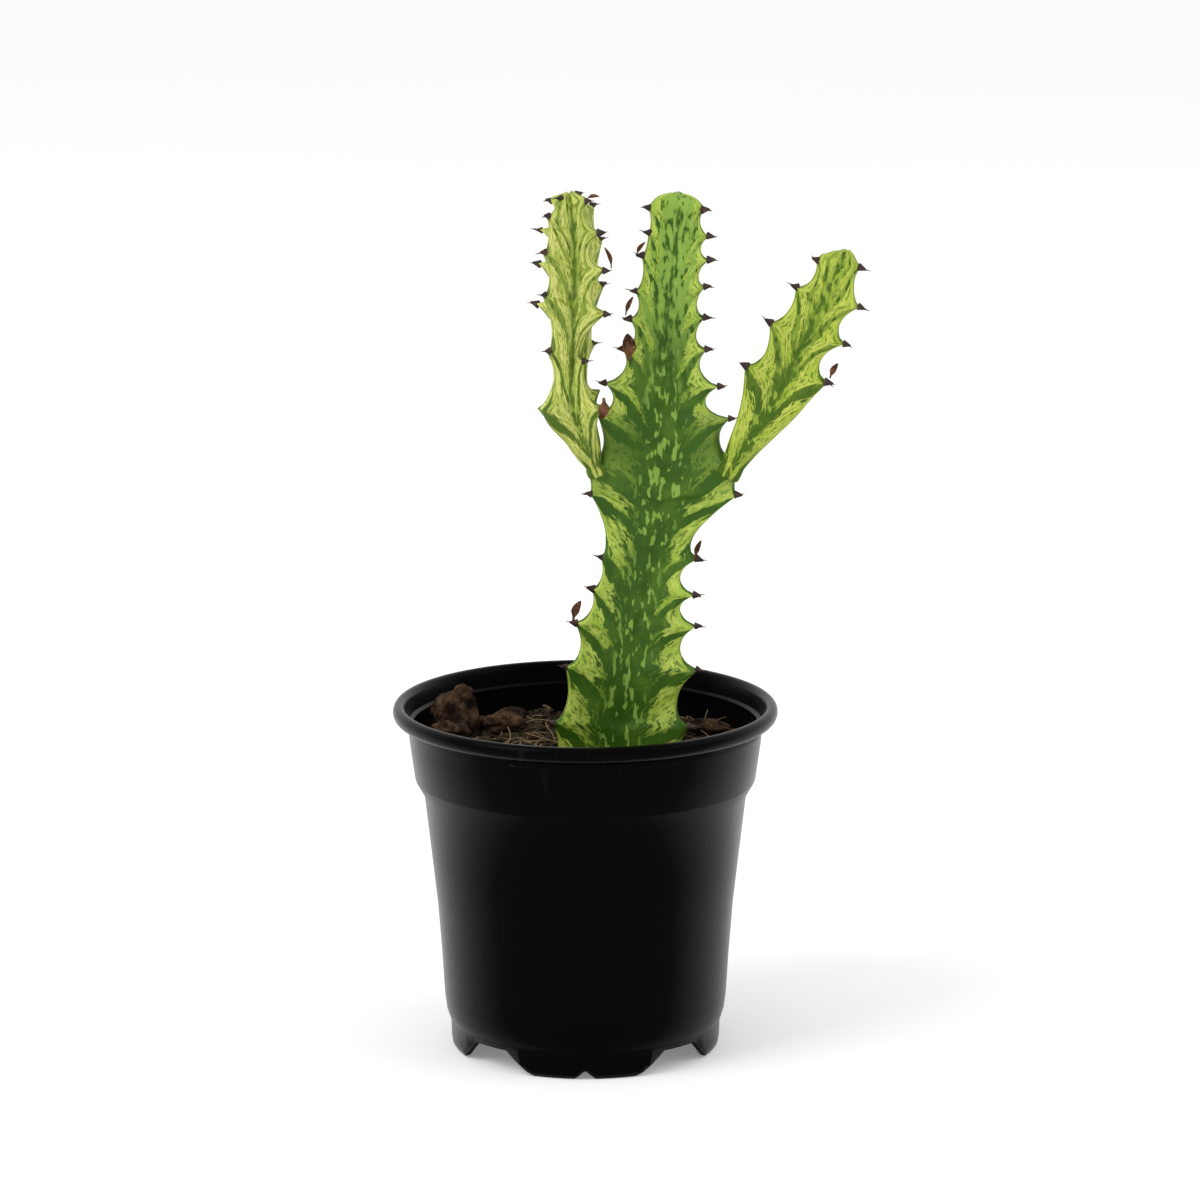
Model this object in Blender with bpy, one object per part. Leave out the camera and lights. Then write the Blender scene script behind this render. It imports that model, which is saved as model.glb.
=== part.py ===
# A young three-stemmed euphorbia in a 12 cm nursery pot.
# Lengths below are millimetres from the pot's axis and the floor; MM turns them into metres.
import math

import bmesh
import bpy
import numpy as np
from mathutils import Matrix, Vector, noise

MM = 0.001
POT_AXIS_X = -13.0  # puts the middle of the whole plant's footprint on the origin
GAP = 0.35  # clearance between pieces that touch

# Pot
POT_HEIGHT = 110.0
LIP_RADIUS = 60.0
COLLAR_RADIUS = 55.2
COLLAR_FOOT_HEIGHT = 86.0
WALL = 1.2
BASE_TOP = 9.2
BASE_UNDERSIDE = 7.9
POT_SEGMENTS = 48
# Outer wall below the collar, from the top down: radius, height.
BODY_OUTLINE = [
    (53.0, COLLAR_FOOT_HEIGHT),
    (50.3, 81.2),
    (48.2, 63.2),
    (46.3, 46.3),
    (45.0, 30.0),
    (44.2, 17.0),
    (43.6, 12.4),
    (42.6, 9.3),
]
# Foot ring, from its top round the sole to the base's underside.
FOOT_OUTLINE = [(42.3, 8.8), (42.1, 3.5), (41.2, 0.6), (40.6, 0.0), (38.9, 0.0), (38.6, 0.6), (38.9, BASE_UNDERSIDE)]
NOTCH_HEIGHT = 7.3
NOTCH_HALF_WIDTHS = (15.4, 6.9)  # at the floor, at the top
SOLE_SLIT_HEIGHT = 2.7
SOLE_SLIT_HALF_WIDTHS = (3.3, 0.4)
DRAIN_RADIUS = 3.5
DRAIN_CIRCLE = 32.0
STRIP_RADIUS = 56.4  # blank raised strip under the lip
STRIP_HEIGHTS = (104.4, 102.6)
STRIP_TURNS = (-113.5, -15.0)  # degrees from +X: front left round to the right

# Potting mix
MIX_HEIGHT = 95.0
MIX_SEGMENTS = 32
MIX_RIM = 52.7
MIX_RINGS = (50.5, 45.0, 39.0, 33.0, 27.0, 21.0, 14.0, 7.0)
MIX_BUMP = 2.2

# Stems. Each stem has an axis (x, y, height) and ribs. A rib has the turn of its plane from the
# front, in degrees towards +X, and its teeth from the bottom up: x, height, depth of the bite below.
SECTION_STEPS = (0.0, 0.1, 0.3, 0.56, 0.78, 0.93)  # down from one tooth to the next
BITE_DEEPEST = 0.64
FLANK_STEPS = 2
EDGE_HALF_THICKNESS = 0.9
SPINE_LENGTH = 3.2
SPINE_SPLAY = 22.0
SWEEP = 3.0  # how far a section's hollows hang below its ribs
SHOULDER_HALF_THICKNESS = 3.0  # the main stem's ribs where the branches leave them
SOCKET_DEPTH = 10.0
SOCKET_MIDDLE = 2.6
SOCKET_FLARE = 0.55

MAIN_AXIS = [
    (9.0, 0.0, 90.0),
    (13.8, 0.0, 121.0),
    (18.6, 0.0, 148.0),
    (23.8, 0.0, 178.0),
    (24.0, 0.0, 206.0),
    (25.3, 0.0, 233.0),
    (28.2, 0.0, 260.0),
    (28.6, 0.0, 270.5),
]
MAIN_RIGHT_TEETH = [
    (32.4, 104.8, 2.0),
    (34.9, 123.3, 5.0),
    (34.5, 136.5, 5.5),
    (34.1, 146.4, 5.2),
    (34.7, 157.2, 5.0),
    (46.7, 178.6, 5.4),
    (47.3, 189.0, 1.3, SHOULDER_HALF_THICKNESS),
    (44.6, 202.4, 5.2),
    (41.4, 212.6, 6.3),
    (37.5, 223.6, 4.4),
    (37.0, 233.5, 3.4),
    (37.0, 242.4, 2.9),
    (38.1, 250.6, 2.9),
    (38.0, 258.4, 2.8),
    (36.3, 266.2, 2.2),
]
MAIN_LEFT_TEETH = [
    (-10.4, 105.8, 2.0),
    (-6.3, 123.9, 3.3),
    (-3.2, 138.2, 3.6),
    (2.1, 148.4, 3.0),
    (4.9, 158.3, 2.0),
    (1.5, 179.4, 2.4),
    (0.9, 188.0, 0.7, SHOULDER_HALF_THICKNESS),
    (3.7, 204.3, 3.9),
    (5.8, 213.3, 4.2),
    (11.4, 223.4, 4.3),
    (13.5, 232.9, 3.2),
    (15.3, 241.5, 2.5),
    (17.2, 251.7, 1.7),
    (19.5, 259.3, 0.9),
    (19.3, 266.9, 0.6),
]
# The buried cut end, from the bottom up: arc length from the axis's start, reach, roundness.
STUMP = [(-20.0, 5.5, 1.0), (-19.0, 7.6, 1.0), (-13.0, 9.0, 1.0), (-6.0, 10.5, 0.9), (-1.0, 17.0, 0.5), (4.0, 23.0, 0.0)]
POCKET_TOP = 18.0
POCKET_CLEARANCE = 1.7

LEFT_AXIS = [
    (3.2, -13.0, 187.0),
    (-1.0, -14.8, 198.0),
    (-3.8, -15.6, 206.0),
    (-4.6, -15.8, 214.0),
    (-4.3, -15.8, 225.0),
    (-3.7, -15.6, 238.0),
    (-3.6, -15.4, 252.0),
    (-4.2, -15.2, 264.0),
    (-4.8, -15.0, 272.0),
]
LEFT_OUTER_TEETH = [
    (-13.0, 208.2, 1.0),
    (-11.1, 225.6, 3.3),
    (-12.3, 243.1, 1.6),
    (-12.3, 256.3, 1.6),
    (-11.2, 267.2, 1.2),
    (-7.4, 272.5, 0.8),
]
LEFT_INNER_TEETH = [
    (5.5, 208.7, 2.4),
    (-0.2, 221.7, 2.6),
    (6.4, 236.9, 3.4),
    (6.1, 250.5, 4.4),
    (4.6, 262.1, 4.3),
    (0.6, 271.0, 3.0),
]
LEFT_NECK = 3.4

RIGHT_AXIS = [
    (44.6, -12.5, 186.5),
    (48.5, -13.5, 193.5),
    (53.1, -14.5, 201.0),
    (57.7, -15.2, 208.9),
    (62.0, -15.8, 218.3),
    (66.2, -16.4, 227.7),
    (70.0, -17.0, 236.0),
    (74.1, -17.5, 244.6),
    (78.4, -18.0, 254.2),
]
RIGHT_OUTER_TEETH = [
    (74.0, 216.4, 1.2),
    (79.4, 228.2, 4.3),
    (83.9, 239.8, 3.8),
    (83.8, 251.2, 2.4),
]
RIGHT_INNER_TEETH = [
    (49.0, 221.5, 1.0),
    (56.3, 235.0, 3.7),
    (64.2, 245.6, 3.1),
    (70.6, 253.6, 2.9),
]
RIGHT_NECK = 4.0

# What lies on the mix: place, size, turns about X, Y and Z.
BARK_CHIPS = [
    ((-40.5, 17.0, 103.0), (15.0, 9.0, 17.0), (8.0, 18.0, -12.0)),
    ((-42.0, 7.5, 99.4), (13.0, 7.0, 5.5), (0.0, 14.0, 20.0)),
    ((-26.0, 20.0, 99.6), (16.0, 9.0, 6.5), (0.0, -8.0, 10.0)),
    ((38.0, 14.0, 99.0), (17.0, 9.0, 5.0), (4.0, 6.0, -18.0)),
]
# Withered leaves: root, tip, width, thickness, sideways bend.
LEAF_OUTLINE = ((0.0, 0.25), (0.2, 0.35), (0.45, 1.0), (0.75, 0.8), (0.93, 0.4), (1.0, 0.12))
DRIED_LEAVES = [
    ((-3.3, -11.6, 139.9), (-1.4, -11.9, 145.2), 2.6, 0.8, 0.5),
    ((34.2, -8.6, 159.0), (35.8, -8.8, 163.6), 1.7, 0.7, 0.3),
    ((12.9, -6.9, 235.0), (14.7, -7.0, 239.6), 1.5, 0.7, 0.4),
    ((13.4, -10.4, 221.6), (13.0, -10.0, 228.6), 4.4, 0.7, -0.3),
    ((16.4, -6.8, 253.4), (18.4, -7.2, 256.6), 1.3, 0.6, 0.5),
    ((7.6, -23.6, 252.4), (5.9, -24.0, 257.8), 1.3, 0.6, -0.7),
    ((1.6, -20.6, 272.3), (4.4, -21.0, 272.9), 1.2, 0.6, 0.6),
    ((5.6, -26.0, 210.4), (5.2, -26.2, 205.2), 3.4, 0.8, 0.4),
    ((75.2, -23.2, 218.4), (77.0, -23.6, 222.0), 1.9, 0.8, 0.3),
]


# ---- helpers

def material(name, colour, roughness):
    made = bpy.data.materials.new(name)
    made.use_nodes = True
    shader = made.node_tree.nodes["Principled BSDF"]
    shader.inputs["Base Color"].default_value = (*colour, 1.0)
    shader.inputs["Roughness"].default_value = roughness
    shader.inputs["Metallic"].default_value = 0.0
    made.diffuse_color = (*colour, 1.0)
    return made


def finish(bm, name, skin, crease=40.0):
    bmesh.ops.recalc_face_normals(bm, faces=bm.faces)
    bmesh.ops.scale(bm, vec=(MM, MM, MM), verts=bm.verts)
    bmesh.ops.translate(bm, vec=(POT_AXIS_X * MM, 0.0, 0.0), verts=bm.verts)
    mesh = bpy.data.meshes.new(name)
    bm.to_mesh(mesh)
    bm.free()
    mesh.shade_smooth()
    mesh.set_sharp_from_angle(angle=math.radians(crease))
    made = bpy.data.objects.new(name, mesh)
    bpy.context.scene.collection.objects.link(made)
    if skin:
        mesh.materials.append(skin)
    return made


def cutter(bm, name):
    made = finish(bm, name, None)
    made.hide_render = True
    made.display_type = "WIRE"
    return made


def cut(piece, tool):
    modifier = piece.modifiers.new(tool.name, "BOOLEAN")
    modifier.operation = "DIFFERENCE"
    modifier.solver = "EXACT"
    modifier.object = tool


def rim_of(bm, verts):
    return [bm.edges.get((verts[i - 1], verts[i])) for i in range(len(verts))]


def next_ring(bm, ring, places):
    """Extrudes a closed ring of vertices and moves the new ring's vertices to places."""
    made = bmesh.ops.extrude_edge_only(bm, edges=rim_of(bm, ring))["geom"]
    order = {vert: index for index, vert in enumerate(ring)}
    fresh = [None] * len(ring)
    for vert in made:
        if not isinstance(vert, bmesh.types.BMVert):
            continue
        for edge in vert.link_edges:
            below = edge.other_vert(vert)
            if below in order:
                fresh[order[below]] = vert
    for vert, place in zip(fresh, places):
        vert.co = place
    return fresh


def first_ring(bm, places):
    ring = bmesh.ops.create_circle(bm, cap_ends=False, radius=1.0, segments=len(places))["verts"]
    for vert, place in zip(ring, places):
        vert.co = place
    return ring


def close_ring(bm, ring):
    cap = bmesh.ops.contextual_create(bm, geom=rim_of(bm, ring))["faces"]
    bmesh.ops.poke(bm, faces=cap)


def turned(bm, outline, segments):
    """Spins an outline of (radius, height) points, whose ends lie on the axis, into a closed body."""
    verts = [bm.verts.new((radius, 0.0, height)) for radius, height in outline]
    edges = [bm.edges.new(pair) for pair in zip(verts, verts[1:])]
    bmesh.ops.spin(
        bm,
        geom=verts + edges,
        cent=(0.0, 0.0, 0.0),
        axis=(0.0, 0.0, 1.0),
        angle=math.tau,
        steps=segments,
        use_merge=True,
    )
    bmesh.ops.remove_doubles(bm, verts=bm.verts, dist=0.01)


# ---- pot

def pot_inside(grow=0.0):
    """The pot's inner wall from the base up to the collar, moved outwards by grow."""
    lower = [(radius - WALL + grow, height) for radius, height in reversed(BODY_OUTLINE)]
    return lower[1:]


def pot_outline():
    inside = [(0.0, BASE_TOP), (41.0, BASE_TOP)] + pot_inside()
    ledge = [(54.0, 103.4), (55.3, 104.0), (55.9, 108.8)]
    lip = [(56.4, 109.7), (57.4, POT_HEIGHT), (58.8, 109.5), (59.7, 108.3), (LIP_RADIUS, 106.7)]
    lip_return = [(59.5, 105.3), (58.4, 104.9), (57.0, 105.0)]
    strip = [(COLLAR_RADIUS + 0.1, height) for height in STRIP_HEIGHTS]
    collar = [(COLLAR_RADIUS, STRIP_HEIGHTS[1] - 0.4), (COLLAR_RADIUS - 0.4, 98.0)]
    return inside + ledge + lip + lip_return + strip + collar + BODY_OUTLINE + FOOT_OUTLINE + [(0.0, BASE_UNDERSIDE)]


def foot_cutter(name, turns, half_widths, height):
    """Trapezoid prisms that open the foot ring at the given turns."""
    bm = bmesh.new()
    below, inner, outer = -1.0, 34.0, 48.0
    slope = (half_widths[0] - half_widths[1]) / height
    for turn in turns:
        made = bmesh.ops.create_cube(bm, size=1.0)["verts"]
        for vert in made:
            top = vert.co.z > 0
            half = half_widths[1] if top else half_widths[0] - slope * below
            vert.co = (outer if vert.co.x > 0 else inner, math.copysign(half, vert.co.y), height if top else below)
        bmesh.ops.rotate(bm, verts=made, cent=(0, 0, 0), matrix=Matrix.Rotation(math.radians(turn), 3, "Z"))
    return cutter(bm, name)


def drain_cutter():
    bm = bmesh.new()
    for turn in (45, 135, 225, 315):
        place = Matrix.Rotation(math.radians(turn), 4, "Z") @ Matrix.Translation((DRAIN_CIRCLE, 0.0, BASE_TOP))
        bmesh.ops.create_cone(
            bm, cap_ends=True, segments=16, radius1=DRAIN_RADIUS, radius2=DRAIN_RADIUS, depth=6.0, matrix=place
        )
    return cutter(bm, "drain_cutter")


def raise_strip(bm):
    """Moves the two strip rings of the collar outwards where the blank strip runs."""
    for vert in bm.verts:
        radius = math.hypot(vert.co.x, vert.co.y)
        turn = math.degrees(math.atan2(vert.co.y, vert.co.x))
        on_ring = min(abs(vert.co.z - height) for height in STRIP_HEIGHTS) < 0.01
        if on_ring and radius < STRIP_RADIUS and radius > COLLAR_RADIUS and STRIP_TURNS[0] < turn < STRIP_TURNS[1]:
            vert.co.x *= STRIP_RADIUS / radius
            vert.co.y *= STRIP_RADIUS / radius


def build_pot(skin):
    bm = bmesh.new()
    turned(bm, pot_outline(), POT_SEGMENTS)
    raise_strip(bm)
    pot = finish(bm, "pot", skin, 30.0)
    cut(pot, foot_cutter("notch_cutter", (45, 135, 225, 315), NOTCH_HALF_WIDTHS, NOTCH_HEIGHT))
    cut(pot, foot_cutter("slit_cutter", (0, 90, 180, 270), SOLE_SLIT_HALF_WIDTHS, SOLE_SLIT_HEIGHT))
    cut(pot, drain_cutter())
    return pot


# ---- stems

def smooth_path(points, steps=24):
    """A Catmull-Rom curve through points, with its arc length at each sample."""
    spots = [2 * Vector(points[0]) - Vector(points[1])] + [Vector(p) for p in points]
    spots.append(2 * spots[-1] - spots[-2])
    samples = []
    for a, b, c, d in zip(spots, spots[1:], spots[2:], spots[3:]):
        for step in range(steps):
            t = step / steps
            samples.append(
                0.5 * (2 * b + (c - a) * t + (2 * a - 5 * b + 4 * c - d) * t**2 + (3 * b - a - 3 * c + d) * t**3)
            )
    samples.append(spots[-2])
    samples = np.array([tuple(s) for s in samples])
    lengths = np.concatenate([[0.0], np.cumsum(np.linalg.norm(np.diff(samples, axis=0), axis=1))])
    return samples, lengths


def frame_at(path, along):
    """The axis point and the front and right directions of the section at this arc length."""
    samples, lengths = path
    inside = min(max(along, 0.5), lengths[-1] - 0.5)
    ends = [np.array([np.interp(inside + step, lengths, samples[:, k]) for k in range(3)]) for step in (-0.5, 0.5)]
    tangent = Vector(ends[1] - ends[0]).normalized()
    centre = Vector([np.interp(inside, lengths, samples[:, k]) for k in range(3)]) + tangent * (along - inside)
    front = (Vector((0, -1, 0)) + tangent * tangent.y).normalized()
    return centre, front, front.cross(tangent).normalized() * -1.0


def rib_along(path, turn, teeth):
    """Each tooth's arc length along the axis, its reach from the axis, the bite below it and its half thickness."""
    samples, lengths = path
    spread = abs(math.sin(math.radians(turn)))
    rows = []
    for x, height, bite, *thick in teeth:
        gaps = np.hypot(samples[:, 0] - x, samples[:, 2] - height)
        nearest = int(np.argmin(gaps))
        half = thick[0] if thick else EDGE_HALF_THICKNESS
        rows.append((lengths[nearest], gaps[nearest] / spread, bite / spread, half))
    return rows


def ribs_along(path, ribs):
    """Rows for every rib. A rib given as a pair of numbers takes the mean of those two ribs' rows."""
    rows = {k: rib_along(path, turn, teeth) for k, (turn, teeth) in enumerate(ribs) if len(teeth) > 2}
    for k, (turn, teeth) in enumerate(ribs):
        if k not in rows:
            one, other = (rows[index] for index in teeth)
            rows[k] = [tuple((a + b) / 2 for a, b in zip(low, high)) for low, high in zip(one, other)]
    return [rows[k] for k in range(len(ribs))]


def bite_shape(t):
    """How deep the margin is bitten at t, from 0 at a tooth down to 1 at the next: a slope, then a shelf."""
    if t < BITE_DEEPEST:
        return 1.0 - (1.0 - t / BITE_DEEPEST) ** 2
    return math.sqrt(max(0.0, 1.0 - ((t - BITE_DEEPEST) / (1.0 - BITE_DEEPEST)) ** 2))


def rib_at(rows, tooth, t):
    """A rib at t of the way down from this tooth: arc length, reach, smooth reach and half thickness."""
    high, low = rows[tooth], rows[tooth - 1]
    along = high[0] + (low[0] - high[0]) * t
    level = high[1] + (low[1] - high[1]) * t
    half = high[3] + (low[3] - high[3]) * t
    return along, level - high[2] * bite_shape(t), level - 0.75 * high[2], half


def round_share(reach):
    """1 where a thin neck is round, 0 where a wide stem has hollow faces."""
    return min(max((12.0 - reach) / 7.5, 0.0), 1.0)


def flank(reach, smooth_reach, half, half_angle, round_by):
    """Points from a rib's edge to the valley between two ribs: (towards the rib, across)."""
    core = smooth_reach * (0.32 + 0.5 * round_by)
    valley = Vector((core * math.cos(half_angle), core * math.sin(half_angle)))
    edge = Vector((reach - 0.5 * half, half))
    hollow = Vector((max(0.42 * smooth_reach, core), 0.1 * smooth_reach + 1.0))
    full = Vector((smooth_reach, smooth_reach * math.tan(half_angle / 2)))
    knee = hollow.lerp(full, 0.6 * round_by)
    points = [Vector((reach, 0.0))]
    for step in range(FLANK_STEPS + 1):
        t = step / FLANK_STEPS
        points.append(edge * (1 - t) ** 2 + knee * (2 * t * (1 - t)) + valley * t**2)
    return points


def section(path, turns, ribs, round_by=None, sweep=0.0):
    """One closed ring round the stem. ribs holds (along, reach, smooth reach, half thickness) for each turn."""
    count = len(turns)
    ring = []
    for k in range(count):
        j = (k + 1) % count
        gap = (turns[j] - turns[k]) % 360.0
        half_angle = math.radians(gap / 2)
        sides = []
        for rib in (ribs[k], ribs[j]):
            share = round_share(rib[2]) if round_by is None else round_by
            sides.append(flank(rib[1], rib[2], rib[3], half_angle, share))
        rising = [(k, 1.0, sides[0][i], i) for i in range(len(sides[0]) - 1)]
        falling = [(j, -1.0, sides[1][i], i) for i in range(len(sides[1]) - 1, 0, -1)]
        middle = (sides[0][-1].length + sides[1][-1].length) / 2
        last = len(sides[0]) - 1
        falling[0] = (j, -1.0, sides[1][-1].normalized() * middle, last)
        for owner, hand, spot, step in rising + falling:
            inward = step / last
            along = ribs[owner][0] * (1 - inward / 2) + ribs[k if owner == j else j][0] * inward / 2
            centre, front, right = frame_at(path, along - sweep * inward**1.5)
            turn = math.radians(turns[owner])
            out = front * math.cos(turn) + right * math.sin(turn)
            across = right * math.cos(turn) - front * math.sin(turn)
            ring.append(centre + out * spot.x + across * (hand * spot.y))
    return ring


def add_spines(bm, ring, above, columns, path, turns, bare):
    """A pair of spines on each rib's tooth, drawn out from the faces beside its tip, except on bare ribs."""
    for k, turn in enumerate(turns):
        if k in bare:
            continue
        tip = ring[k * columns]
        centre, front, right = frame_at(path, nearest_along(path, tip.co))
        angle = math.radians(turn)
        out = front * math.cos(angle) + right * math.sin(angle)
        across = right * math.cos(angle) - front * math.sin(angle)
        for hand in (-1, 1):
            neighbour = ring[(k * columns + hand) % len(ring)]
            upper = above[k * columns]
            face = next((f for f in tip.link_faces if neighbour in f.verts and upper in f.verts), None)
            if face is None:
                continue
            splay = math.radians(SPINE_SPLAY) * hand
            point = bmesh.ops.poke(bm, faces=[face])["verts"][0]
            point.co = tip.co + (out * math.cos(splay) + across * math.sin(splay)) * SPINE_LENGTH


def nearest_along(path, spot):
    samples, lengths = path
    return lengths[int(np.argmin(np.linalg.norm(samples - np.array(spot), axis=1)))]


def build_stem(name, skin, axis, ribs, start, bare, top):
    """ribs is a list of (turn, teeth). start gives the rings below the first tooth as (arc length, reach,
    roundness), bare names the ribs without spines at a tooth, and top closes the tip as (rise, share of reach)."""
    path = smooth_path(axis)
    turns = [turn for turn, teeth in ribs]
    neck = start[-1]
    rows = [[(neck[0], neck[1], 0.0, EDGE_HALF_THICKNESS)] + row for row in ribs_along(path, ribs)]
    columns = 2 * (FLANK_STEPS + 1)
    bm = bmesh.new()
    ring = None
    for along, reach, round_by in start:
        places = section(path, turns, [(along, reach, reach, EDGE_HALF_THICKNESS)] * len(turns), round_by)
        if ring:
            ring = next_ring(bm, ring, places)
        else:
            ring = first_ring(bm, places)
            close_ring(bm, ring)
    tips = []
    for tooth in range(1, len(rows[0])):
        for t in reversed(SECTION_STEPS):
            sweep = SWEEP if tooth > 1 else SWEEP * (1.0 - t)
            ring = next_ring(bm, ring, section(path, turns, [rib_at(row, tooth, t) for row in rows], None, sweep))
            if t == SECTION_STEPS[-1] and tips:
                tips[-1].append(ring)
        tips.append([tooth, ring])
    ends = [row[-1] for row in rows]
    highest = max(end[0] for end in ends)
    for rise, share in top:
        spots = [((highest + end[0]) / 2 + rise, end[1] * share, end[1] * share, end[3] * share) for end in ends]
        ring = next_ring(bm, ring, section(path, turns, spots, None, SWEEP * share))
        if len(tips[-1]) == 2:
            tips[-1].append(ring)
    close_ring(bm, ring)
    for tooth, tip, above in tips:
        add_spines(bm, tip, above, columns, path, turns, bare.get(tooth, ()))
    return finish(bm, name, skin, 60.0)


def socket(name, axis, reach):
    """A flaring hole that takes a branch's lower end."""
    path = smooth_path(axis)
    centre, front, right = frame_at(path, SOCKET_MIDDLE)
    turn = Matrix((right, -front, right.cross(-front))).transposed().to_4x4()
    bm = bmesh.new()
    bmesh.ops.create_cone(
        bm,
        cap_ends=True,
        segments=20,
        radius1=reach + GAP + 0.1,
        radius2=reach + GAP + 0.1 + SOCKET_FLARE * SOCKET_DEPTH,
        depth=SOCKET_DEPTH,
        matrix=Matrix.Translation(centre) @ turn,
    )
    return cutter(bm, name)


def build_stems(main_skin, branch_skin):
    main = build_stem(
        "main_stem",
        main_skin,
        MAIN_AXIS,
        [(60.0, MAIN_RIGHT_TEETH), (180.0, (0, 2)), (300.0, MAIN_LEFT_TEETH)],
        STUMP,
        {7: (0, 1, 2), 8: (2,)},
        ((1.6, 0.86), (3.2, 0.62), (4.0, 0.3)),
    )
    left = build_stem(
        "left_branch",
        branch_skin,
        LEFT_AXIS,
        [(50.0, LEFT_INNER_TEETH), (140.0, (3, 3)), (238.0, (0, 0)), (320.0, LEFT_OUTER_TEETH)],
        ((-2.0, LEFT_NECK - 0.3, 1.0), (-1.6, LEFT_NECK, 1.0), (0.0, LEFT_NECK, 1.0)),
        {1: (0, 1, 2, 3)},
        ((0.9, 0.7), (1.6, 0.35)),
    )
    right = build_stem(
        "right_branch",
        branch_skin,
        RIGHT_AXIS,
        [(60.0, RIGHT_OUTER_TEETH), (180.0, (0, 2)), (300.0, RIGHT_INNER_TEETH)],
        ((-2.0, RIGHT_NECK - 0.3, 1.0), (-1.6, RIGHT_NECK, 1.0), (0.0, RIGHT_NECK, 1.0)),
        {},
        ((1.2, 0.7), (2.6, 0.4), (3.2, 0.2)),
    )
    cut(main, socket("left_socket", LEFT_AXIS, LEFT_NECK))
    cut(main, socket("right_socket", RIGHT_AXIS, RIGHT_NECK))
    return main, left, right


# ---- potting mix and what lies on it

def build_mix(skin):
    """Fills the pot up to the mix height, with an uneven top and a pocket for the buried stem."""
    fill = [(radius - GAP, height) for radius, height in pot_inside() if height < MIX_HEIGHT]
    outline = [(0.0, BASE_TOP + GAP), (40.4, BASE_TOP + GAP)] + fill + [(MIX_RIM - GAP, MIX_HEIGHT - 1.0)]
    outline += [(radius, MIX_HEIGHT) for radius in MIX_RINGS] + [(0.0, MIX_HEIGHT)]
    bm = bmesh.new()
    turned(bm, outline, MIX_SEGMENTS)
    for vert in bm.verts:
        if vert.co.z > MIX_HEIGHT - 0.5:
            spot = Vector((vert.co.x, vert.co.y, 0.0))
            vert.co.z += MIX_BUMP * noise.noise(spot * 0.11) + 0.8 * noise.noise(spot * 0.37)
    return finish(bm, "potting_mix", skin, 50.0)


def stem_pocket():
    """The space that the buried end of the main stem needs, with clearance all round."""
    path = smooth_path(MAIN_AXIS)
    turns = [60.0, 180.0, 300.0]
    bm = bmesh.new()
    ring = None
    top = (POCKET_TOP, STUMP[-1][1] + 1.0, STUMP[-1][2])
    for along, reach, round_by in STUMP + [top]:
        places = section(path, turns, [(along, reach, reach, EDGE_HALF_THICKNESS)] * 3, round_by)
        if ring:
            ring = next_ring(bm, ring, places)
        else:
            ring = first_ring(bm, places)
            close_ring(bm, ring)
    close_ring(bm, ring)
    bmesh.ops.recalc_face_normals(bm, faces=bm.faces)
    bm.normal_update()
    normals = [vert.normal.copy() for vert in bm.verts]
    for vert, normal in zip(bm.verts, normals):
        vert.co += normal * POCKET_CLEARANCE
    return cutter(bm, "stem_pocket")


def rough_chip(place, size, turns, seed, grow=0.0):
    """A rough chip: an icosphere pushed about by noise, squashed, turned and set in place."""
    bm = bmesh.new()
    verts = bmesh.ops.create_icosphere(bm, subdivisions=2, radius=0.5)["verts"]
    for vert in verts:
        vert.co *= 1.0 + 0.35 * noise.noise(vert.co * 2.4 + Vector((seed, 0.0, 0.0)))
    bmesh.ops.scale(bm, vec=[side + 2.0 * grow for side in size], verts=verts)
    for turn, way in zip(turns, "XYZ"):
        bmesh.ops.rotate(bm, verts=verts, cent=(0, 0, 0), matrix=Matrix.Rotation(math.radians(turn), 3, way))
    bmesh.ops.translate(bm, vec=place, verts=verts)
    return bm


def dried_leaf(name, skin, root, tip, width, thickness, curl):
    """A withered leaf: a narrow strip that widens, bends sideways by curl and comes to a point."""
    root, tip = Vector(root), Vector(tip)
    run = tip - root
    across = run.cross(Vector((0, 1, 0))).normalized()
    bm = bmesh.new()
    ring = None
    for share, wide in LEAF_OUTLINE:
        centre = root + run * share + across * (curl * math.sin(math.pi * share))
        half = across * (width * wide / 2)
        deep = Vector((0, thickness / 2, 0))
        places = [centre - half, centre - deep, centre + half, centre + deep]
        if ring:
            ring = next_ring(bm, ring, places)
        else:
            ring = first_ring(bm, places)
            close_ring(bm, ring)
    close_ring(bm, ring)
    return finish(bm, name, skin, 45.0)


def build():
    for leftover in list(bpy.data.objects):
        bpy.data.objects.remove(leftover, do_unlink=True)
    build_pot(material("black_plastic", (0.012, 0.012, 0.013), 0.35))
    build_stems(
        material("stem_green", (0.10, 0.22, 0.05), 0.45),
        material("branch_green", (0.32, 0.42, 0.09), 0.45),
    )
    mix = build_mix(material("potting_mix", (0.035, 0.024, 0.015), 0.95))
    cut(mix, stem_pocket())
    bark = material("bark", (0.10, 0.055, 0.03), 0.9)
    for number, (place, size, turns) in enumerate(BARK_CHIPS, 1):
        seed = number * 7.3
        finish(rough_chip(place, size, turns, seed), f"bark_chip_{number}", bark, 35.0)
        cut(mix, cutter(rough_chip(place, size, turns, seed, 1.3 * GAP), f"chip_{number}_bed"))
    leaf = material("dried_leaf", (0.20, 0.11, 0.06), 0.85)
    for number, row in enumerate(DRIED_LEAVES, 1):
        dried_leaf(f"dried_leaf_{number}", leaf, *row)


build()
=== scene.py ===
# A young euphorbia with a main stem and two branches, in a black nursery pot, on a pale floor.
# Lengths in the dictionaries are millimetres from the pot's axis and the floor.
import math
import random

import bmesh
import bpy
import numpy as np
from mathutils import Matrix, Vector, noise


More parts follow.
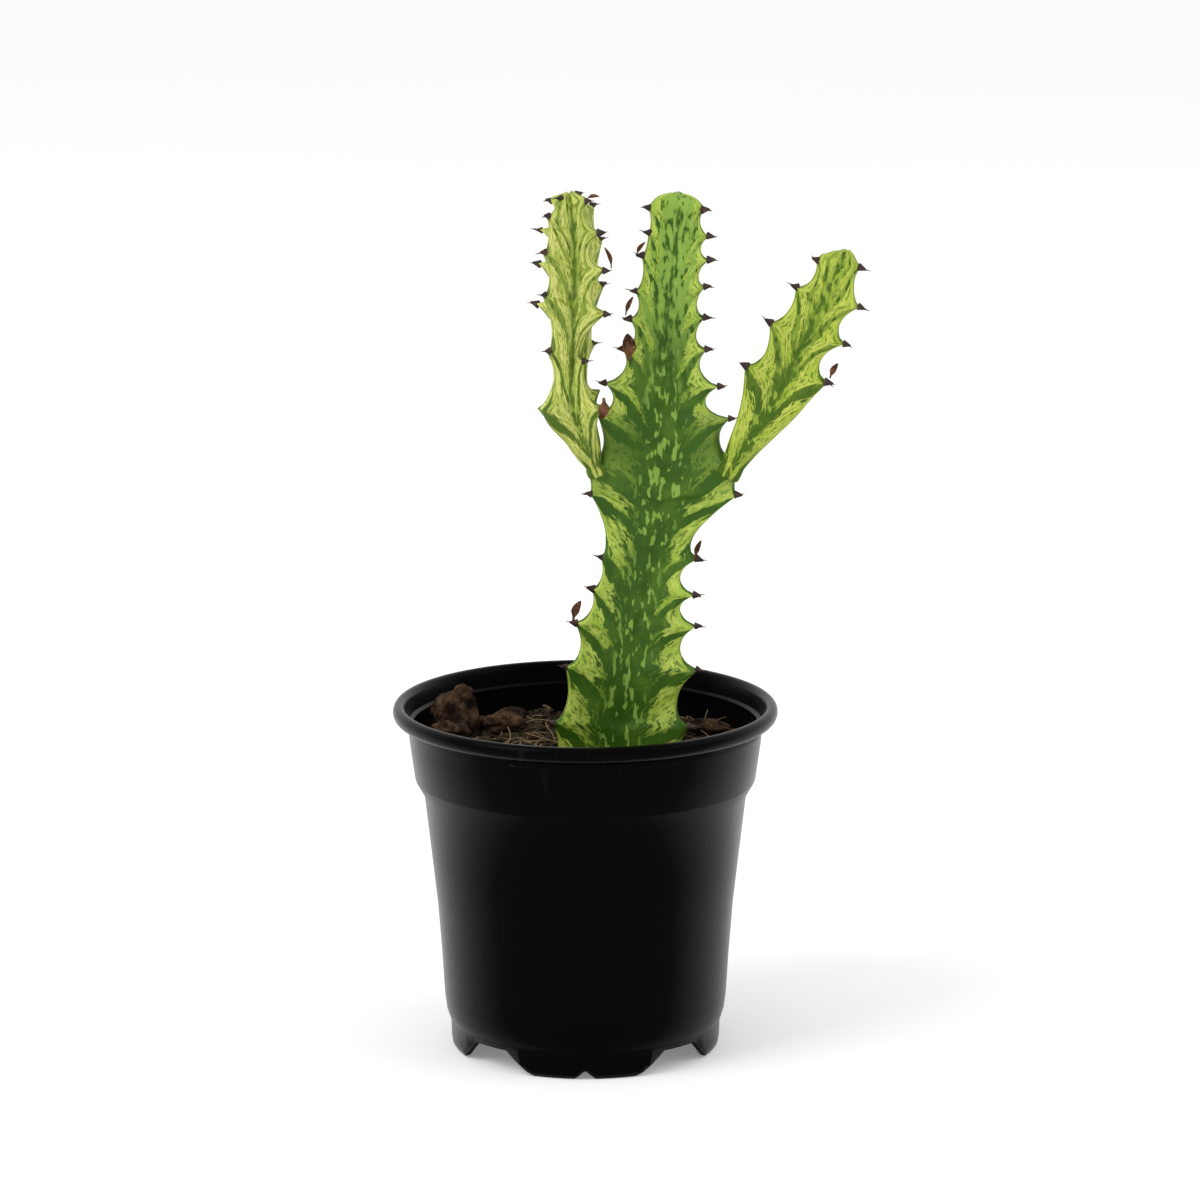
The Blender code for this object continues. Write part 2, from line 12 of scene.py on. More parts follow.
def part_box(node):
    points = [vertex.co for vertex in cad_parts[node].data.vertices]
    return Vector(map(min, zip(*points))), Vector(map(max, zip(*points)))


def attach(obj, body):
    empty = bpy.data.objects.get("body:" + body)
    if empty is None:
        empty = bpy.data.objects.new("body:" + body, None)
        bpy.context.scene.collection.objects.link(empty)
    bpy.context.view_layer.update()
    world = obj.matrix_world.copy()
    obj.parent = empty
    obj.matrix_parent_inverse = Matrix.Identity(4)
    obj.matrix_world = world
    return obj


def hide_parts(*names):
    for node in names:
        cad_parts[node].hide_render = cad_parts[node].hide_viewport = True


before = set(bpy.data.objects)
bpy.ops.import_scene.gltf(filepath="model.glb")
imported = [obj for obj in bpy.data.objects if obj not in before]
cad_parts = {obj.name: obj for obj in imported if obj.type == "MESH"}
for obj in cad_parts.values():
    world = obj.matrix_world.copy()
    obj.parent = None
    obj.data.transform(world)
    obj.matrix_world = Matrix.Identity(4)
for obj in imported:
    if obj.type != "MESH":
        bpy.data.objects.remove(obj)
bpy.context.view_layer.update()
mm = 0.001
potLow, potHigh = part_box("pot")
potAxisX = (potLow[0] + potHigh[0]) / 2


def finishMesh(bm, name, skin, crease=40.0):  # millimetres round the pot's axis become metres in the frame
    bmesh.ops.recalc_face_normals(bm, faces=bm.faces)
    bmesh.ops.scale(bm, vec=(mm, mm, mm), verts=bm.verts)
    bmesh.ops.translate(bm, vec=(potAxisX, 0.0, 0.0), verts=bm.verts)
    mesh = bpy.data.meshes.new(name)
    bm.to_mesh(mesh)
    bm.free()
    mesh.shade_smooth()
    mesh.set_sharp_from_angle(angle=math.radians(crease))
    piece = bpy.data.objects.new(name, mesh)
    bpy.context.scene.collection.objects.link(piece)
    if skin:
        mesh.materials.append(skin)
    return piece


def rimOf(bm, ring):
    return [bm.edges.get((ring[i - 1], ring[i])) for i in range(len(ring))]


def firstRing(bm, places):
    ring = bmesh.ops.create_circle(bm, cap_ends=False, radius=1.0, segments=len(places))["verts"]
    for vert, place in zip(ring, places):
        vert.co = place
    return ring


def nextRing(bm, ring, places):
    made = bmesh.ops.extrude_edge_only(bm, edges=rimOf(bm, ring))["geom"]
    order = {vert: index for index, vert in enumerate(ring)}
    fresh = [None] * len(ring)
    for vert in made:
        if isinstance(vert, bmesh.types.BMVert):
            below = next(edge.other_vert(vert) for edge in vert.link_edges if edge.other_vert(vert) in order)
            fresh[order[below]] = vert
    for vert, place in zip(fresh, places):
        vert.co = place
    return fresh


def closeRing(bm, ring):
    cap = bmesh.ops.contextual_create(bm, geom=rimOf(bm, ring))["faces"]
    bmesh.ops.poke(bm, faces=cap)


def spun(bm, outline, segments):
    verts = [bm.verts.new((radius, 0.0, height)) for radius, height in outline]
    edges = [bm.edges.new(pair) for pair in zip(verts, verts[1:])]
    bmesh.ops.spin(
        bm, geom=verts + edges, cent=(0, 0, 0), axis=(0, 0, 1), angle=math.tau, steps=segments, use_merge=True
    )
    bmesh.ops.remove_doubles(bm, verts=bm.verts, dist=0.01)


def newMaterial(name):
    made = bpy.data.materials.new(name)
    made.use_nodes = True
    return made, made.node_tree, made.node_tree.nodes["Principled BSDF"]


def addNode(tree, kind, inputs=(), **settings):  # inputs: socket name or number to a value or another socket
    made = tree.nodes.new(kind)
    for key, value in settings.items():
        setattr(made, key, value)
    for key, value in dict(inputs).items():
        if isinstance(value, bpy.types.NodeSocket):
            tree.links.new(value, made.inputs[key])
        else:
            made.inputs[key].default_value = value
    return made


def calc(tree, operation, first, second=0.0, third=0.0):
    return addNode(tree, "ShaderNodeMath", {0: first, 1: second, 2: third}, operation=operation).outputs[0]


def fade(tree, value, low, high):  # 0 below low, 1 above high, smooth between
    made = addNode(tree, "ShaderNodeMapRange", {0: value, 1: low, 2: high, 3: 0.0, 4: 1.0})
    made.interpolation_type = "SMOOTHSTEP"
    return made.outputs[0]


def blendColours(tree, share, first, second):
    inputs = {0: share, 6: first, 7: second}
    return addNode(tree, "ShaderNodeMix", inputs, data_type="RGBA").outputs[2]


def noiseAt(tree, vector, scale, detail=3.0, roughness=0.55):
    inputs = {"Vector": vector, "Scale": scale, "Detail": detail, "Roughness": roughness}
    return addNode(tree, "ShaderNodeTexNoise", inputs).outputs["Fac"]


def objectPlace(tree):
    return addNode(tree, "ShaderNodeTexCoord").outputs["Object"]


def addBump(tree, shader, height, strength, distance):
    bump = addNode(tree, "ShaderNodeBump", {"Height": height, "Strength": strength, "Distance": distance})
    tree.links.new(bump.outputs[0], shader.inputs["Normal"])


def linear(red, green, blue):  # a screen colour, 0 to 255, as the shader wants it
    shares = [level / 255 for level in (red, green, blue)]
    return (*[((share + 0.055) / 1.055) ** 2.4 if share > 0.04 else share / 12.92 for share in shares], 1.0)


pot = {
    "segments": 192,
    "body": [  # radius, height, from the collar down
        (53.0, 86.0), (50.3, 81.2), (48.2, 63.2), (46.3, 46.3), (45.0, 30.0), (44.2, 17.0), (43.6, 12.4),
    ],
    "foot": [
        (42.6, 9.3), (42.3, 8.8), (42.1, 3.5), (41.8, 1.4), (41.2, 0.6), (40.6, 0.0), (38.9, 0.0), (38.6, 0.6),
    ],
    "lipCentre": (58.0, 107.5),
    "lipRadii": (2.0, 2.5),
    "lipTurns": (165.0, 17.0, 15),  # first turn in degrees, step and number of points
    "ledge": [(54.0, 103.4), (55.3, 104.0), (55.7, 106.0)],
    "collarRadius": 55.2,
    "collarFoot": [(54.8, 98.0), (53.2, 86.6)],
    "wall": 1.2,
    "baseTop": 9.2,
    "baseUnderside": 7.9,
    "baseInnerRadius": 41.0,
    "soleInnerRadius": 38.9,
    "drainRadius": 3.5,
    "drainCircle": 32.0,
    "cornerTurns": (45, 135, 225, 315),
    "sideTurns": (0, 90, 180, 270),
    "footRing": (34.0, 48.0),  # a notch cutter's reach from the axis
    "notch": (7.3, 15.4, 6.9),  # height, half width at the floor, half width at the top
    "slit": (2.7, 3.3, 0.4),
    "stripRadius": 56.4,
    "stripHeights": (104.2, 102.7),
    "stripTurns": (-113.5, -15.0),
    "colour": linear(3, 3, 3),
    "scuffColour": linear(30, 29, 27),
}


def potPlastic():
    made, tree, shader = newMaterial("moulded black plastic")
    place = objectPlace(tree)
    broad = noiseAt(tree, place, 18.0, 4.0)
    fine = noiseAt(tree, place, 900.0, 2.0)
    drawn = addNode(tree, "ShaderNodeMapping", {"Vector": place, "Scale": (260.0, 260.0, 9.0)}).outputs[0]
    scuff = fade(tree, noiseAt(tree, drawn, 1.0, 3.0), 0.62, 0.8)
    dust = calc(tree, "MULTIPLY", scuff, fade(tree, broad, 0.4, 0.7))
    colour = blendColours(tree, calc(tree, "MULTIPLY", dust, 0.5), pot["colour"], pot["scuffColour"])
    tree.links.new(colour, shader.inputs["Base Color"])
    rough = addNode(tree, "ShaderNodeMapRange", {0: broad, 3: 0.2, 4: 0.34}).outputs[0]
    tree.links.new(calc(tree, "ADD", rough, calc(tree, "MULTIPLY", scuff, 0.12)), shader.inputs["Roughness"])
    facing = addNode(tree, "ShaderNodeLayerWeight", {"Blend": 0.5}).outputs["Facing"]
    sheen = addNode(tree, "ShaderNodeMapRange", {0: facing, 1: 0.25, 2: 0.95, 3: 0.03, 4: 0.4}).outputs[0]
    tree.links.new(sheen, shader.inputs["Specular IOR Level"])
    addBump(tree, shader, calc(tree, "ADD", fine, calc(tree, "MULTIPLY", broad, 1.5)), 0.12, 0.0004)
    return made


def footPrisms(name, turns, height, lowHalf, topHalf):
    bm = bmesh.new()
    below = -1.0
    inner, outer = pot["footRing"]
    slope = (lowHalf - topHalf) / height
    for turn in turns:
        corners = bmesh.ops.create_cube(bm, size=1.0)["verts"]
        for vert in corners:
            top = vert.co.z > 0
            half = topHalf if top else lowHalf - slope * below
            reach = outer if vert.co.x > 0 else inner
            vert.co = (reach, math.copysign(half, vert.co.y), height if top else below)
        turned = Matrix.Rotation(math.radians(turn), 3, "Z")
        bmesh.ops.rotate(bm, verts=corners, cent=(0, 0, 0), matrix=turned)
    return finishMesh(bm, name, None)


def cutAway(piece, tool):  # the Boolean is applied, and its tool removed
    modifier = piece.modifiers.new("cut", "BOOLEAN")
    modifier.solver = "EXACT"
    modifier.object = tool
    graph = bpy.context.evaluated_depsgraph_get()
    cutMesh = bpy.data.meshes.new_from_object(piece.evaluated_get(graph))
    piece.modifiers.clear()
    piece.data = cutMesh
    bpy.data.objects.remove(tool)


def buildPot():
    inside = [(radius - pot["wall"], height) for radius, height in reversed(pot["body"])]
    outline = [(0.0, pot["baseTop"]), (pot["baseInnerRadius"], pot["baseTop"])] + inside + pot["ledge"]
    lipX, lipZ = pot["lipCentre"]
    lipWide, lipTall = pot["lipRadii"]
    firstTurn, stepTurn, points = pot["lipTurns"]
    for step in range(points):  # the rolled lip, from inside over the top to its underside
        turn = math.radians(firstTurn - step * stepTurn)
        outline.append((lipX + lipWide * math.cos(turn), lipZ + lipTall * math.sin(turn)))
    collar = pot["collarRadius"]
    stripTop, stripFoot = pot["stripHeights"]
    outline += [(collar + 0.3, stripTop + 0.7), (collar + 0.1, stripTop), (collar + 0.1, stripFoot)]
    outline += [(collar, stripFoot - 0.5)] + pot["collarFoot"] + pot["body"] + pot["foot"]
    outline += [(pot["soleInnerRadius"], pot["baseUnderside"]), (0.0, pot["baseUnderside"])]
    bm = bmesh.new()
    spun(bm, outline, pot["segments"])
    for vert in bm.verts:  # the blank raised strip under the lip
        radius = math.hypot(vert.co.x, vert.co.y)
        turn = math.degrees(math.atan2(vert.co.y, vert.co.x))
        onRing = min(abs(vert.co.z - height) for height in pot["stripHeights"]) < 0.01
        if onRing and radius > collar and pot["stripTurns"][0] < turn < pot["stripTurns"][1]:
            vert.co.xy *= pot["stripRadius"] / radius
    piece = finishMesh(bm, "potShell", potPlastic(), 35.0)
    cutAway(piece, footPrisms("notches", pot["cornerTurns"], *pot["notch"]))
    cutAway(piece, footPrisms("slits", pot["sideTurns"], *pot["slit"]))
    bm = bmesh.new()
    hole = pot["drainRadius"]
    for turn in pot["cornerTurns"]:
        outwards = Matrix.Translation((pot["drainCircle"], 0.0, pot["baseTop"]))
        place = Matrix.Rotation(math.radians(turn), 4, "Z") @ outwards
        bmesh.ops.create_cone(
            bm, cap_ends=True, segments=32, radius1=hole, radius2=hole, depth=6.0, matrix=place
        )
    cutAway(piece, finishMesh(bm, "drains", None))
    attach(piece, "root")
    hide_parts("pot")


buildPot()
print("pot built")


stems = {
    "flankSteps": 8,
    "levelsPerTooth": 14,
    "biteDeepest": 0.64,
    "edgeHalfThickness": 0.9,
    "sweep": 3.0,  # how far a section's hollows hang below its ribs
    "roundBelow": (12.0, 7.5),  # a neck under the first reach turns round over the second
    "streakSlope": 19.0,  # how far along the stem a streak falls between a rib's edge and its hollow
    "spineLength": 2.7,
    "shield": (0.95, 0.2, 2.5),  # radius at the tooth, radius at the end, length
}

mainStem = {
    "axis": [
        (9.0, 0.0, 90.0), (13.8, 0.0, 121.0), (18.6, 0.0, 148.0), (23.8, 0.0, 178.0),
        (24.0, 0.0, 206.0), (25.3, 0.0, 233.0), (28.2, 0.0, 260.0), (28.6, 0.0, 270.5),
    ],
    "right": [
        (32.4, 104.8, 2.0), (34.9, 123.3, 5.0), (34.5, 136.5, 5.5), (34.1, 146.4, 5.2),
        (34.7, 157.2, 5.0), (46.7, 178.6, 5.4), (47.3, 189.0, 1.3, 3.0), (44.6, 202.4, 5.2),
        (41.4, 212.6, 6.3), (37.5, 223.6, 4.4), (37.0, 233.5, 3.4), (37.0, 242.4, 2.9),
        (38.1, 250.6, 2.9), (38.0, 258.4, 2.8), (36.3, 266.2, 2.2),
    ],
    "left": [
        (-10.4, 105.8, 2.0), (-6.3, 123.9, 3.3), (-3.2, 138.2, 3.6), (2.1, 148.4, 3.0), (4.9, 158.3, 2.0),
        (1.5, 179.4, 2.4), (0.9, 188.0, 0.7, 3.0), (3.7, 204.3, 3.9), (5.8, 213.3, 4.2), (11.4, 223.4, 4.3),
        (13.5, 232.9, 3.2), (15.3, 241.5, 2.5), (17.2, 251.7, 1.7), (19.5, 259.3, 0.9), (19.3, 266.9, 0.6),
    ],
    "start": [  # the buried end: place along the axis, reach, roundness
        (-20.0, 5.5, 1.0), (-19.0, 7.6, 1.0), (-13.0, 9.0, 1.0),
        (-6.0, 10.5, 0.9), (-1.0, 17.0, 0.5), (4.0, 23.0, 0.0),
    ],
    "end": (  # rise above the last tooth, share of the reach
        (0.7, 0.96), (1.6, 0.86), (2.5, 0.75), (3.2, 0.62), (3.7, 0.45), (4.0, 0.25),
    ),
    "bare": {7: (0, 1, 2), 8: (2,)},  # ribs without spines, by tooth
    "young": (0.205, 0.245, 0.85),  # metres up where the paler growth starts and is full, and its share
    "dark": linear(54, 92, 16),
    "middle": linear(98, 132, 40),
    "fleck": linear(146, 182, 78),
    "pale": linear(158, 186, 66),
    "bright": linear(196, 214, 98),
    "paleShare": 0.64,
    "reach": 0.5,
    "plain": (0.172, 0.193, 0.21),
}

leftBranch = {
    "axis": [
        (3.2, -13.0, 187.0), (-1.0, -14.8, 198.0), (-3.8, -15.6, 206.0),
        (-4.6, -15.8, 214.0), (-4.3, -15.8, 225.0), (-3.7, -15.6, 238.0),
        (-3.6, -15.4, 252.0), (-4.2, -15.2, 264.0), (-4.8, -15.0, 272.0),
    ],
    "outer": [
        (-13.0, 208.2, 1.0), (-11.1, 225.6, 3.3), (-12.3, 243.1, 1.6),
        (-12.3, 256.3, 1.6), (-11.2, 267.2, 1.2), (-7.4, 272.5, 0.8),
    ],
    "inner": [
        (5.5, 208.7, 2.4), (-0.2, 221.7, 2.6), (6.4, 236.9, 3.4), (6.1, 250.5, 4.4), (4.6, 262.1, 4.3),
        (0.6, 271.0, 3.0),
    ],
    "start": [(-2.0, 3.1, 1.0), (-1.6, 3.4, 1.0), (0.0, 3.4, 1.0)],
    "end": ((0.5, 0.9), (0.9, 0.7), (1.3, 0.5), (1.6, 0.3)),
    "bare": {1: (0, 1, 2, 3)},
    "young": (0.21, 0.25, 0.6),
    "dark": linear(80, 108, 26),
    "middle": linear(108, 134, 34),
    "fleck": linear(158, 178, 74),
    "pale": linear(180, 192, 84),
    "bright": linear(222, 224, 128),
    "paleShare": 0.7,
    "reach": 0.85,
}

rightBranch = {
    "axis": [
        (44.6, -12.5, 186.5), (48.5, -13.5, 193.5), (53.1, -14.5, 201.0),
        (57.7, -15.2, 208.9), (62.0, -15.8, 218.3), (66.2, -16.4, 227.7),
        (70.0, -17.0, 236.0), (74.1, -17.5, 244.6), (78.4, -18.0, 254.2),
    ],
    "outer": [(74.0, 216.4, 1.2), (79.4, 228.2, 4.3), (83.9, 239.8, 3.8), (83.8, 251.2, 2.4)],
    "inner": [(49.0, 221.5, 1.0), (56.3, 235.0, 3.7), (64.2, 245.6, 3.1), (70.6, 253.6, 2.9)],
    "start": [(-2.0, 3.7, 1.0), (-1.6, 4.0, 1.0), (0.0, 4.0, 1.0)],
    "end": ((0.6, 0.88), (1.2, 0.7), (2.0, 0.54), (2.6, 0.4), (3.2, 0.2)),
    "bare": {},
    "young": (0.205, 0.245, 0.6),
    "dark": linear(66, 98, 14),
    "middle": linear(94, 124, 26),
    "fleck": linear(158, 182, 66),
    "pale": linear(164, 188, 58),
    "bright": linear(198, 208, 92),
    "paleShare": 0.68,
    "reach": 0.8,
}


def smoothPath(points, steps=24):  # a Catmull-Rom curve, and its arc length at each sample
    spots = [2 * Vector(points[0]) - Vector(points[1])] + [Vector(p) for p in points]
    spots.append(2 * spots[-1] - spots[-2])
    samples = []
    for a, b, c, d in zip(spots, spots[1:], spots[2:], spots[3:]):
        for step in range(steps):
            t = step / steps
            square, cube = 2 * a - 5 * b + 4 * c - d, 3 * b - a - 3 * c + d
            samples.append(0.5 * (2 * b + (c - a) * t + square * t**2 + cube * t**3))
    samples.append(spots[-2])
    samples = np.array([tuple(s) for s in samples])
    lengths = np.concatenate([[0.0], np.cumsum(np.linalg.norm(np.diff(samples, axis=0), axis=1))])
    return samples, lengths


def pointAt(path, along):
    samples, lengths = path
    return np.array([np.interp(along, lengths, samples[:, k]) for k in range(3)])


def frameAt(path, along):  # the axis point and the front and right directions of a section
    inside = min(max(along, 0.5), path[1][-1] - 0.5)
    tangent = Vector(pointAt(path, inside + 0.5) - pointAt(path, inside - 0.5)).normalized()
    centre = Vector(pointAt(path, inside)) + tangent * (along - inside)
    front = (Vector((0, -1, 0)) + tangent * tangent.y).normalized()
    return centre, front, front.cross(tangent).normalized() * -1.0


def ribAlong(path, turn, teeth):
    samples, lengths = path
    spread = abs(math.sin(math.radians(turn)))
    rows = []
    for x, height, bite, *thick in teeth:
        gaps = np.hypot(samples[:, 0] - x, samples[:, 2] - height)
        nearest = int(np.argmin(gaps))
        half = thick[0] if thick else stems["edgeHalfThickness"]
        rows.append((lengths[nearest], gaps[nearest] / spread, bite / spread, half))
    return rows


def ribsAlong(path, ribs):  # a rib given as a pair of numbers takes the mean of those two ribs' rows
    rows = {k: ribAlong(path, turn, teeth) for k, (turn, teeth) in enumerate(ribs) if len(teeth) > 2}
    for k, (turn, teeth) in enumerate(ribs):
        if k not in rows:
            one, other = (rows[index] for index in teeth)
            rows[k] = [tuple((a + b) / 2 for a, b in zip(low, high)) for low, high in zip(one, other)]
    return [rows[k] for k in range(len(ribs))]


def biteShape(t):  # a slope down from the tooth, then a shelf out to the next
    deepest = stems["biteDeepest"]
    if t < deepest:
        return 1.0 - (1.0 - t / deepest) ** 2
    return math.sqrt(max(0.0, 1.0 - ((t - deepest) / (1.0 - deepest)) ** 2))


def ribAt(rows, tooth, t):
    high, low = rows[tooth], rows[tooth - 1]
    along = high[0] + (low[0] - high[0]) * t
    level = high[1] + (low[1] - high[1]) * t
    return along, level - high[2] * biteShape(t), level - 0.75 * high[2], high[3] + (low[3] - high[3]) * t


def flank(reach, smoothReach, half, halfAngle, roundBy):  # from a rib's edge to the valley beside it
    core = smoothReach * (0.32 + 0.5 * roundBy)
    valley = Vector((core * math.cos(halfAngle), core * math.sin(halfAngle)))
    edge = Vector((reach - 0.5 * half, half))
    hollow = Vector((max(0.42 * smoothReach, core), 0.1 * smoothReach + 1.0))
    full = Vector((smoothReach, smoothReach * math.tan(halfAngle / 2)))
    knee = hollow.lerp(full, 0.6 * roundBy)
    points = [Vector((reach, 0.0)), Vector((reach - 0.14 * half, 0.62 * half))]
    for step in range(stems["flankSteps"] + 1):
        t = step / stems["flankSteps"]
        points.append(edge * (1 - t) ** 2 + knee * (2 * t * (1 - t)) + valley * t**2)
    return points


# Places round the stem, each with how far in from a rib it lies, that rib, and how far along the stem.
def section(path, turns, ribs, roundBy=None, sweep=0.0):
    ring = []
    roundReach, roundOver = stems["roundBelow"]
    for k in range(len(turns)):
        j = (k + 1) % len(turns)
        halfAngle = math.radians(((turns[j] - turns[k]) % 360.0) / 2)
        sides = []
        for rib in (ribs[k], ribs[j]):
            share = min(max((roundReach - rib[2]) / roundOver, 0.0), 1.0) if roundBy is None else roundBy
            sides.append(flank(rib[1], rib[2], rib[3], halfAngle, share))
        last = len(sides[0]) - 1
        middle = (sides[0][-1].length + sides[1][-1].length) / 2
        rising = [(k, 1.0, sides[0][i], i) for i in range(last)]
        falling = [(j, -1.0, sides[1][i], i) for i in range(last, 0, -1)]
        falling[0] = (j, -1.0, sides[1][-1].normalized() * middle, last)
        for owner, hand, spot, step in rising + falling:
            inward = step / last
            along = ribs[owner][0] * (1 - inward / 2) + ribs[k if owner == j else j][0] * inward / 2
            centre, front, right = frameAt(path, along - sweep * inward**1.5)
            turn = math.radians(turns[owner])
            out = front * math.cos(turn) + right * math.sin(turn)
            across = right * math.cos(turn) - front * math.sin(turn)
            ring.append((centre + out * spot.x + across * (hand * spot.y), inward, owner, along))
    return ring


def markRing(layers, ring, places, rows):  # keeps what the skin's pattern needs at each vertex
    for vert, (place, inward, owner, along) in zip(ring, places):
        levels = [row[0] for row in rows[owner]]
        falling = along + stems["streakSlope"] * inward
        beyond = max(0.0, falling - levels[-1]) / 10.0
        vert[layers["inward"]] = inward
        vert[layers["tooth"]] = float(np.interp(falling, levels, range(len(levels)))) + beyond
        vert[layers["streak"]] = falling / 10.0 + owner * 40.0


def buildStem(name, skin, look, ribs):  # ribs: the turn of each from the front, and its teeth
    path = smoothPath(look["axis"])
    turns = [turn for turn, teeth in ribs]
    neck = look["start"][-1]
    thin = stems["edgeHalfThickness"]
    rows = [[(neck[0], neck[1], 0.0, thin)] + row for row in ribsAlong(path, ribs)]
    bm = bmesh.new()
    layers = {key: bm.verts.layers.float.new(key) for key in ("inward", "tooth", "streak")}
    ring = None
    tips = []
    for along, reach, roundBy in look["start"]:
        spots = section(path, turns, [(along, reach, reach, thin)] * len(turns), roundBy)
        places = [spot[0] for spot in spots]
        if ring:
            ring = nextRing(bm, ring, places)
        else:
            ring = firstRing(bm, places)
            closeRing(bm, ring)
        markRing(layers, ring, spots, rows)
    levels = stems["levelsPerTooth"]
    for tooth in range(1, len(rows[0])):
        for level in reversed(range(levels)):
            t = level / levels
            sweep = stems["sweep"] if tooth > 1 else stems["sweep"] * (1.0 - t)
            spots = section(path, turns, [ribAt(row, tooth, t) for row in rows], None, sweep)
            ring = nextRing(bm, ring, [spot[0] for spot in spots])
            markRing(layers, ring, spots, rows)
        for k, turn in enumerate(turns):
            if k in look["bare"].get(tooth, ()):
                continue
            centre, front, right = frameAt(path, rows[k][tooth][0])
            angle = math.radians(turn)
            out = front * math.cos(angle) + right * math.sin(angle)
            across = right * math.cos(angle) - front * math.sin(angle)
            tips.append((centre + out * rows[k][tooth][1], out, across))
    ends = [row[-1] for row in rows]
    highest = max(end[0] for end in ends)
    for rise, share in look["end"]:
        ribSpots = []
        for along, reach, bite, half in ends:
            ribSpots.append(((highest + along) / 2 + rise, reach * share, reach * share, half * share))
        spots = section(path, turns, ribSpots, None, stems["sweep"] * share)
        ring = nextRing(bm, ring, [spot[0] for spot in spots])
        markRing(layers, ring, spots, rows)
    closeRing(bm, ring)
    for vert in bm.verts:  # slight unevenness of the living skin
        vert.co += vert.co.normalized().orthogonal() * 0.25 * noise.noise(vert.co * 0.16)
        vert.co.y += 0.35 * noise.noise(vert.co * 0.09 + Vector((7, 0, 0)))
    piece = finishMesh(bm, name, skin, 70.0)
    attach(piece, "root")
    return piece, tips


def attributeOf(tree, name):
    return addNode(tree, "ShaderNodeAttribute", attribute_name=name).outputs["Fac"]


